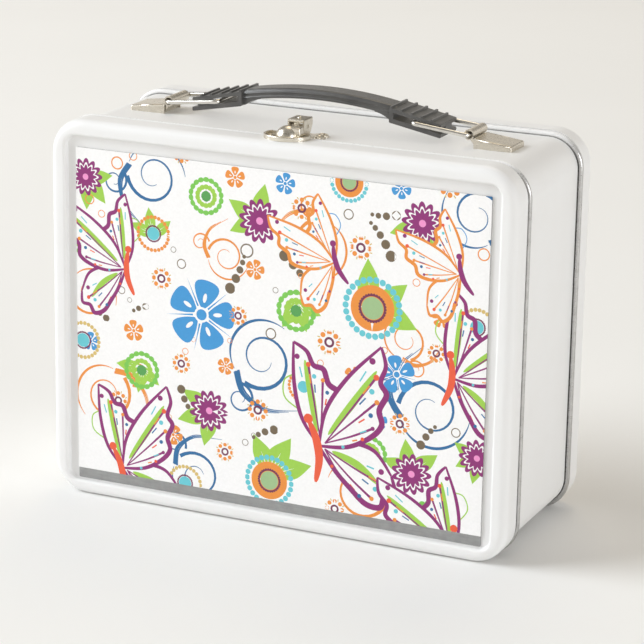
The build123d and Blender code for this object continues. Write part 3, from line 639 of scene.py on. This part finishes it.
def lay_round_flowers(art):
    """Rosettes, bead flowers, green flowers and seed flowers."""
    for u, v, radius, angle in (
        (-8, 52, 10, 5), (68, 60, 9.6, 10), (-32, -38, 9.6, 0),
        (-94, 62, 8.6, 4), (96, -40, 8.4, 12), (66, -52, 9.4, 3),
    ):
        rosette(art, u, v, radius, angle)
    for u, v, radius, outer, middle, eye in (
        (46, 20, 14, "cyan", "orange", "sage"), (-2, -66, 12, "cyan", "orange", "sage"),
        (-60, 40, 8.4, "orange", None, "cyan"), (14, -20, 7.6, "orange", None, "cyan"),
        (-96, -14, 9, "khaki", None, "cyan"), (94, 18, 8.6, "khaki", None, "cyan"),
        (-44, -74, 8.6, "khaki", None, "cyan"), (34, 74, 9, "cyan", "orange", "sage"),
    ):
        bead_flower(art, u, v, radius, outer, middle, eye)
    for u, v, radius in (
        (10, 14, 9.6), (-66, -24, 9), (46, -46, 8.6), (-34, 60, 8.6),
        (98, -16, 7), (-98, 34, 7.4), (74, -72, 9),
    ):
        green_flower(art, u, v, radius)
    for u, v, radius in (
        (26, 2, 6), (-56, 20, 5.2), (-8, -34, 5.4), (-46, 78, 5), (-18, 8, 4.6),
        (40, 46, 5.6), (-46, -18, 4.8), (60, -30, 5), (12, 60, 5.2), (-24, -56, 4.6),
        (80, 78, 6), (-78, -40, 4.8), (76, 4, 4.4), (30, -74, 5),
    ):
        seed_flower(art, u, v, radius)


DOT_RADII = (2.5, 2.1, 1.7, 1.3, 0.9)


def lay_dots(art):
    """Trails at (u, v, angle, bend, largest dot left out) and loose rings."""
    for u, v, angle, bend, skip in (
        (4, 38, -40, -5, 0), (54, 44, 118, 6, 0), (-46, -30, -70, 9, 1), (0, -42, 200, 8, 1),
        (70, -38, 60, -6, 1), (-22, 20, 60, 5, 0), (-64, 6, 200, 8, 2), (30, -28, -30, 8, 1),
        (56, 62, 190, -7, 1), (-84, -2, 150, 8, 2),
    ):
        dot_trail(art, u, v, angle, bend, DOT_RADII[skip:])
    bubbles(art, "taupe", (
        (-14, 38, 3.2), (-46, 28, 2.3), (-50, 34, 1.4), (-2, 2, 2.6), (34, 60, 2.4), (86, -30, 2.2),
    ))
    bubbles(art, "orange", (
        (-92, 52, 2.4), (-78, 70, 3.0), (-70, 74, 2.1), (-30, 78, 1.8), (-86, 46, 1.8), (66, 34, 1.8),
        (96, 50, 2.8), (22, -8, 1.6), (-40, -6, 1.2), (-44, -12, 1.6), (-22, -4, 1.2), (52, 2, 1.6),
        (-56, -40, 2.0), (-52, -44, 1.3), (58, -72, 1.8), (62, -66, 1.2), (12, 30, 1.3), (36, -34, 1.2),
    ))
    bubbles(art, "taupe", (
        (-14, -50, 1.6), (-10, -46, 1.1), (74, 46, 1.5), (-76, 12, 1.8), (-72, 8, 1.2), (0, 22, 1.4),
    ))


def lay_out():
    """The insert's own scattered arrangement of generic flowers, leaves, butterflies and scrolls."""
    art = Drawing()
    lay_scrolls(art)
    lay_butterflies(art)
    lay_leaves(art)
    lay_daisies(art)
    lay_round_flowers(art)
    lay_dots(art)
    return art


INKS = {
    "ground": linear(249, 248, 248),
    "purple": linear(142, 42, 116),
    "plum": linear(116, 48, 82),
    "pink": linear(240, 150, 205),
    "leaf": linear(160, 208, 78),
    "green": linear(124, 200, 84),
    "forest": linear(86, 160, 84),
    "sage": linear(160, 192, 140),
    "sky": linear(64, 152, 214),
    "navy": linear(42, 108, 160),
    "cyan": linear(104, 200, 212),
    "orange": linear(236, 146, 60),
    "coral": linear(236, 94, 60),
    "taupe": linear(116, 100, 78),
    "khaki": linear(216, 188, 112),
}


def clip(p, q, half_width, half_height):
    """The part of a line that lies inside the insert's rectangle, or None."""
    start, end = 0.0, 1.0
    for axis, limit in ((0, half_width), (1, half_height)):
        step = q[axis] - p[axis]
        for sign in (-1, 1):
            room = limit - sign * p[axis]
            if sign * step > 0:
                end = min(end, room / (sign * step))
            elif sign * step < 0:
                start = max(start, room / (sign * step))
            elif room < 0:
                return None
    if start >= end:
        return None
    return [(p[0] + (q[0] - p[0]) * t, p[1] + (q[1] - p[1]) * t) for t in (start, end)]


def covers(cell, u, v):
    """True when a triangle holds the point."""
    signs = 0
    for p, q in zip(cell, cell[1:] + cell[:1]):
        signs += 1 if (q[0] - p[0]) * (v - p[1]) > (q[1] - p[1]) * (u - p[0]) else -1
    return abs(signs) == 3


BUCKET = 2.0  # side, in mm, of the squares that sort the places


def top_inks(middles, shapes):
    """The ink that lies on top at each place, when the shapes are painted level by level."""
    buckets = {}
    for i, (u, v) in enumerate(middles):
        buckets.setdefault((int(u // BUCKET), int(v // BUCKET)), []).append(i)
    inks = ["ground"] * len(middles)
    for cells, _, colour, _ in sorted(shapes, key=lambda shape: shape[3]):
        for cell in cells:
            us = [int(p[0] // BUCKET) for p in cell]
            vs = [int(p[1] // BUCKET) for p in cell]
            for a in range(min(us), max(us) + 1):
                for b in range(min(vs), max(vs) + 1):
                    for i in buckets.get((a, b), ()):
                        if covers(cell, *middles[i]):
                            inks[i] = colour
    return inks


def finish_mesh(name, mesh_data, materials, shade_smooth=True):
    """Turns a bmesh into an object in the scene."""
    mesh = bpy.data.meshes.new(name)
    mesh_data.to_mesh(mesh)
    mesh_data.free()
    for material in materials:
        mesh.materials.append(material)
    if shade_smooth:
        mesh.polygons.foreach_set("use_smooth", [True] * len(mesh.polygons))
    piece = bpy.data.objects.new(name, mesh)
    bpy.context.scene.collection.objects.link(piece)
    return piece


def flat_lines(shapes, half_width, half_height):
    """Points and lines of every outline, cut to the rectangle, and of the rectangle itself."""
    points, lines = [], []
    corners = [(-half_width, -half_height), (half_width, -half_height)]
    corners += [(half_width, half_height), (-half_width, half_height)]
    outlines = [outline for _, own, _, _ in shapes for outline in own] + [corners]
    for outline in outlines:
        for p, q in zip(outline, outline[1:] + outline[:1]):
            cut = clip(p, q, half_width, half_height)
            if cut:
                lines.append((len(points), len(points) + 1))
                points.extend(cut)
    return points, lines


def make_print():
    """The printed sheet: one flat mesh whose faces each carry the ink that lies on top there."""
    low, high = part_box("printed_insert")
    half_width = (high[0] - low[0]) / 2 / MM
    half_height = (high[2] - low[2]) / 2 / MM
    middle_x = (high[0] + low[0]) / 2
    middle_z = (high[2] + low[2]) / 2
    shapes = lay_out().shapes
    points, lines = flat_lines(shapes, half_width, half_height)
    places, _, faces, _, _, _ = delaunay_2d_cdt([Vector(p) for p in points], lines, [], 0, 1e-4)
    middles = [tuple(sum((places[i] for i in face), Vector((0, 0))) / len(face)) for face in faces]
    inks = top_inks(middles, shapes)
    sheet = bmesh.new()
    corner = [sheet.verts.new((middle_x + p.x * MM, low[1], middle_z + p.y * MM)) for p in places]
    ink = sheet.loops.layers.float_color.new("ink")
    for face, name in zip(faces, inks):
        made = sheet.faces.new([corner[i] for i in face])
        for loop in made.loops:
            loop[ink] = (*INKS[name], 1)
    thicken(sheet, high[1] - low[1], ink)
    piece = finish_mesh("insert_print", sheet, [print_material()], shade_smooth=False)
    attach(piece, "lid")
    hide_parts("printed_insert")


def thicken(sheet, depth, ink):
    """Gives a flat bmesh facing -Y side walls and a back."""
    for vertex in [v for v in sheet.verts if not v.link_faces]:
        sheet.verts.remove(vertex)
    rim = [e for e in sheet.edges if len(e.link_faces) == 1]
    made = bmesh.ops.extrude_edge_only(sheet, edges=rim)["geom"]
    moved = [g for g in made if isinstance(g, bmesh.types.BMVert)]
    bmesh.ops.translate(sheet, verts=moved, vec=(0, depth, 0))
    open_edges = [e for e in sheet.edges if len(e.link_faces) == 1]
    bmesh.ops.holes_fill(sheet, edges=open_edges, sides=0)
    for face in sheet.faces:
        for loop in face.loops:
            if loop[ink][3] == 0:
                loop[ink] = (*INKS["ground"], 1)
    bmesh.ops.recalc_face_normals(sheet, faces=sheet.faces)


make_print()


# ---------------------------------------------------------------- fine pieces

def frames(path, closed):
    """The tangent and two cross directions at each point of a path, without twist."""
    count = len(path)
    out = []
    across = None
    for i, p in enumerate(path):
        before = path[i - 1] if closed or i > 0 else p
        after = path[(i + 1) % count] if closed or i + 1 < count else p
        along = (after - before).normalized()
        if across is None:
            seed = Vector((0, 0, 1)) if abs(along.z) < 0.9 else Vector((0, 1, 0))
            across = along.cross(seed).normalized()
        else:
            across = (across - along * across.dot(along)).normalized()
        out.append((across, along.cross(across)))
    return out


TUBE_SIDES = 8


def add_tube(target, path, radius, closed=False):
    """A round bar along a path of points in millimetres; radius may be a function of 0 to 1."""
    path = [Vector(p) * MM for p in path]
    rings = []
    for i, (p, (u, v)) in enumerate(zip(path, frames(path, closed))):
        t = i / (len(path) - 1)
        r = (radius(t) if callable(radius) else radius) * MM
        turns = [2 * math.pi * k / TUBE_SIDES for k in range(TUBE_SIDES)]
        rings.append([target.verts.new(p + u * math.cos(a) * r + v * math.sin(a) * r) for a in turns])
    pairs = list(zip(rings, rings[1:] + rings[:1])) if closed else list(zip(rings, rings[1:]))
    for a, b in pairs:
        for k in range(TUBE_SIDES):
            j = (k + 1) % TUBE_SIDES
            target.faces.new((a[k], a[j], b[j], b[k]))
    if not closed:
        target.faces.new(rings[0][::-1])
        target.faces.new(rings[-1])


def outline_path(half_width, low, high, radius, y, gap=0.0):
    """Points in mm along the box's rounded outline at y, leaving a gap about the bottom's middle."""
    points = []
    corners = ((-1, -1, 180), (-1, 1, 90), (1, 1, 0), (1, -1, -90))
    if gap:
        points.append((-gap, y, low))
    for sx, sz, first in corners:
        cx = sx * (half_width - radius)
        cz = high - radius if sz > 0 else low + radius
        start = {180: 270, 90: 180, 0: 90, -90: 0}[first]
        for k in range(9):
            a = math.radians(start - 90 * k / 8)
            points.append((cx + radius * math.cos(a), y, cz + radius * math.sin(a)))
    if gap:
        points.append((gap, y, low))
    return points


def node_mm(node):
    """A node's lowest and highest corner in millimetres."""
    low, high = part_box(node)
    return [v / MM for v in low], [v / MM for v in high]


CREVICE_RADIUS = 0.3
CREVICE_STEP = 0.86  # from the bead's middle line to the crevice, along Y
CREVICE_PROUD = 0.05
CREVICE_CORNER = 13.85
HINGE_GAP = 82  # the hinge takes the place of the front crevices this far either side of the middle


def make_crevice_shadows():
    """Painted shade: dark lines in the corners between each bead and the band."""
    low, high = node_mm("body_band")
    target = bmesh.new()
    half_width = high[0] + CREVICE_PROUD
    bottom, top = low[2] - CREVICE_PROUD, high[2] + CREVICE_PROUD
    for node, gap in (("front_rim_bead", HINGE_GAP), ("rear_seam_bead", 0)):
        bead_low, bead_high = node_mm(node)
        middle = (bead_low[1] + bead_high[1]) / 2
        for side in (-1, 1):
            y = middle + side * CREVICE_STEP
            path = outline_path(half_width, bottom, top, CREVICE_CORNER, y, gap)
            add_tube(target, path, CREVICE_RADIUS, closed=not gap)
    piece = finish_mesh("seam_crevices", target, [CREVICE])
    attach(piece, "box")


BAR_HALF_LENGTH = 35.4
BAR_ARCH_RADIUS = 190
BAR_RIDGES = ((5.2, 0.62, 0.55), (2.0, 0.42, 0.4), (5.85, 1.75, 0.72), (5.85, 3.6, 0.72))


def make_grip_ridges():
    """Moulded ridges on the grip's bar, at (distance from the middle, drop from the top, radius)."""
    low, high = node_mm("handle_grip")
    middle = (low[0] + high[0]) / 2
    target = bmesh.new()
    for offset, drop, radius in BAR_RIDGES:
        for y in (-offset, offset):
            path = []
            for i in range(41):
                x = -BAR_HALF_LENGTH + 2 * BAR_HALF_LENGTH * i / 40
                arch = math.sqrt(BAR_ARCH_RADIUS**2 - x * x) - BAR_ARCH_RADIUS
                path.append((middle + x, y, high[2] - drop + arch))
            add_tube(target, path, radius)
    piece = finish_mesh("grip_ridges", target, [VINYL])
    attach(piece, "handle")


LATCH_PLATE_THICKNESS = 0.8
LATCH_CURLS = (
    (8.6, -17.9, -60, 400, 2.5, 0.7), (9.0, -24.6, 60, -400, 2.4, 0.7), (7.0, -27.2, 200, -330, 1.9, 0.6),
)


def make_latch_scrolls():
    """Embossed curls on the latch base's wings, at (x, y, start, turn, first and last radius)."""
    low, high = node_mm("latch_base")
    middle = (low[0] + high[0]) / 2
    bottom = low[2] + LATCH_PLATE_THICKNESS + 0.12
    target = bmesh.new()
    for side in (-1, 1):
        for x, y, start, turn, r0, r1 in LATCH_CURLS:
            path = []
            for i in range(31):
                t = i / 30
                across, along = polar((x, y), r0 + (r1 - r0) * t, math.radians(start + turn * t))
                path.append((middle + side * across, along, bottom + 0.25 * t))
            add_tube(target, path, lambda t: 0.42 - 0.14 * t)
    piece = finish_mesh("latch_scrolls", target, [NICKEL])
    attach(piece, "box")


DISH_CENTRE_Y = -35.6
DISH_HALF_X, DISH_HALF_Y = 10.15, 8.35  # to the middle of the rolled edge


def make_keeper_trim():
    """A rolled edge round the front of the keeper's dish."""
    low, high = node_mm("keeper_plate")
    middle = (low[0] + high[0]) / 2
    target = bmesh.new()
    path = []
    for i in range(37):
        a = math.radians(150 + 240 * i / 36)
        y = DISH_CENTRE_Y + DISH_HALF_Y * math.sin(a)
        path.append((middle + DISH_HALF_X * math.cos(a), min(y, high[1] - 0.35), high[2] - 0.1))
    add_tube(target, path, swell(0.3, 0.55))
    piece = finish_mesh("keeper_trim", target, [NICKEL])
    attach(piece, "lid")


BLOCK_PLAN = ((1.0, -37.5), (7.0, -37.2), (6.5, -31.7), (1.0, -31.7))
BLOCK_MIDDLE = (3.9, -34.5)
BLOCK_TOP_SCALE = 0.86
BLOCK_BEVEL = 0.5


def make_boss_facets():
    """The flat-sided block that stands against the right of the keeper's dome."""
    foot = node_mm("keeper_plate")[1][2] - 0.75
    crown = node_mm("keeper_boss")[1][2] - 0.5
    u, v = BLOCK_MIDDLE
    target = bmesh.new()
    rings = []
    for z, draw in ((foot, 1.0), (crown, BLOCK_TOP_SCALE)):
        points = [(u + (x - u) * draw, v + (y - v) * draw) for x, y in BLOCK_PLAN]
        rings.append([target.verts.new((x * MM, y * MM, z * MM)) for x, y in points])
    for i in range(4):
        j = (i + 1) % 4
        target.faces.new((rings[0][i], rings[0][j], rings[1][j], rings[1][i]))
    target.faces.new(rings[0][::-1])
    target.faces.new(rings[1])
    edges = list(target.edges)
    bmesh.ops.bevel(target, geom=edges, offset=BLOCK_BEVEL * MM, segments=3, profile=0.6, affect="EDGES")
    piece = finish_mesh("boss_facets", target, [NICKEL])
    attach(piece, "lid")


HEM_Y = 7.55
HEM_RADIUS = 0.42
HEM_END_INSET = 0.9


def make_cover_edges():
    """Folded hems along the long top edges of the clip covers, which slope down outwards."""
    for side, word in ((-1, "left"), (1, "right")):
        low, high = node_mm("clip_cover_" + word)
        inner = high[0] if side < 0 else low[0]
        outer = low[0] if side < 0 else high[0]
        target = bmesh.new()
        for y in (-HEM_Y, HEM_Y):
            path = [(inner, y, high[2] - 0.4), (outer - side * HEM_END_INSET, y, high[2] - 2.35)]
            add_tube(target, path, HEM_RADIUS)
        piece = finish_mesh("cover_hems_" + word, target, [NICKEL])
        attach(piece, "box")


make_crevice_shadows()
make_grip_ridges()
make_latch_scrolls()
make_keeper_trim()
make_boss_facets()
make_cover_edges()


# ---------------------------------------------------------------- floor, light and camera

def make_floor():
    """A wide sheet of plain pale paper."""
    bpy.ops.mesh.primitive_plane_add(size=14, location=(0, 4, 0))
    floor = bpy.context.object
    floor.name = "studio_floor"
    material, shader, nodes, links = new_material("studio_paper")
    cloud = noise(nodes, links, 3, 2)
    paper = ramp(nodes, links, cloud, (0.865, 0.862, 0.85, 1), (0.885, 0.882, 0.87, 1))
    links.new(paper, shader.inputs["Base Color"])
    shader.inputs["Roughness"].default_value = 0.8
    shader.inputs["Specular IOR Level"].default_value = 0.2
    floor.data.materials.append(material)


AIM = Vector((0, 0, 0.09))
LIGHT_DISTANCE = 4.4


def soft_box(name, azimuth, elevation, size, power, colour):
    """A round soft light turned to the box; azimuth is from +X towards +Y."""
    a, e = math.radians(azimuth), math.radians(elevation)
    direction = Vector((math.cos(e) * math.cos(a), math.cos(e) * math.sin(a), math.sin(e)))
    data = bpy.data.lights.new(name, "AREA")
    data.shape = "DISK"
    data.size = size
    data.energy = power
    data.color = colour
    light = bpy.data.objects.new(name, data)
    light.location = AIM + direction * LIGHT_DISTANCE
    light.rotation_euler = direction.to_track_quat("Z", "Y").to_euler()
    bpy.context.scene.collection.objects.link(light)
    return light


def spare_handle_shadow(lights):
    """Lets the lights pass the handle, so that its shadow does not darken the box's top."""
    spared = bpy.data.collections.new("no_shadow")
    for name in ("handle_grip", "grip_ridges", "bail_left", "bail_right"):
        spared.objects.link(NODES.get(name) or bpy.data.objects[name])
    for entry in spared.collection_objects:
        entry.light_linking.link_state = "EXCLUDE"
    for light in lights:
        light.light_linking.blocker_collection = spared


def make_world():
    """A warm room: a bright backdrop near the horizon, darker walls above it and a soft ceiling."""
    world = bpy.data.worlds.new("studio")
    world.use_nodes = True
    nodes = world.node_tree.nodes
    links = world.node_tree.links
    direction = nodes.new("ShaderNodeTexCoord")
    split = nodes.new("ShaderNodeSeparateXYZ")
    links.new(direction.outputs["Generated"], split.inputs["Vector"])
    band = nodes.new("ShaderNodeValToRGB")
    stops = band.color_ramp.elements
    stops[0].position = 0.0
    stops[0].color = grey(0.9, 0.1)
    stops[1].position = 1.0
    stops[1].color = grey(0.42, 0.08)
    for position, level in ((0.2, 0.88), (0.36, 0.42), (0.48, 0.2), (0.64, 0.26)):
        stop = stops.new(position)
        stop.color = grey(level, 0.1)
    links.new(split.outputs["Z"], band.inputs["Fac"])
    background = nodes["Background"]
    links.new(band.outputs["Color"], background.inputs["Color"])
    bpy.context.scene.world = world


def make_light():
    """A key lamp at the front left, a low fill at the right and a warm lamp behind."""
    make_world()
    key = soft_box("key", 203, 31, 3.2, 188, (0.925, 0.965, 1.0))
    fill = soft_box("fill", -18, 12, 2.0, 66, (0.95, 0.975, 1.0))
    back = soft_box("back", 100, 58, 2.4, 34, (1.0, 0.85, 0.62))
    spare_handle_shadow((key, fill, back))


CAMERA_AZIMUTH = 24.32
CAMERA_ELEVATION = 16.33
CAMERA_ROLL = 0.97
CAMERA_PLACE = (0.4795, -1.0566, 0.4230)
CAMERA_LENS = 149.57


def make_camera():
    """A camera at the front right, a little above the box and slightly rolled."""
    azimuth = math.radians(CAMERA_AZIMUTH)
    elevation = math.radians(CAMERA_ELEVATION)
    roll = math.radians(CAMERA_ROLL)
    level = math.cos(elevation)
    forward = Vector((-math.sin(azimuth) * level, math.cos(azimuth) * level, -math.sin(elevation)))
    right = forward.cross(Vector((0, 0, 1))).normalized()
    up = right.cross(forward)
    rolled_right = right * math.cos(roll) + up * math.sin(roll)
    rolled_up = up * math.cos(roll) - right * math.sin(roll)
    data = bpy.data.cameras.new("camera")
    data.lens = CAMERA_LENS
    data.sensor_width = 36
    data.clip_start = 0.05
    camera = bpy.data.objects.new("camera", data)
    basis = Matrix((rolled_right, rolled_up, -forward)).transposed().to_4x4()
    camera.matrix_world = Matrix.Translation(CAMERA_PLACE) @ basis
    bpy.context.scene.collection.objects.link(camera)
    bpy.context.scene.camera = camera


make_floor()
make_light()
make_camera()
bpy.context.scene.view_settings.view_transform = "Standard"
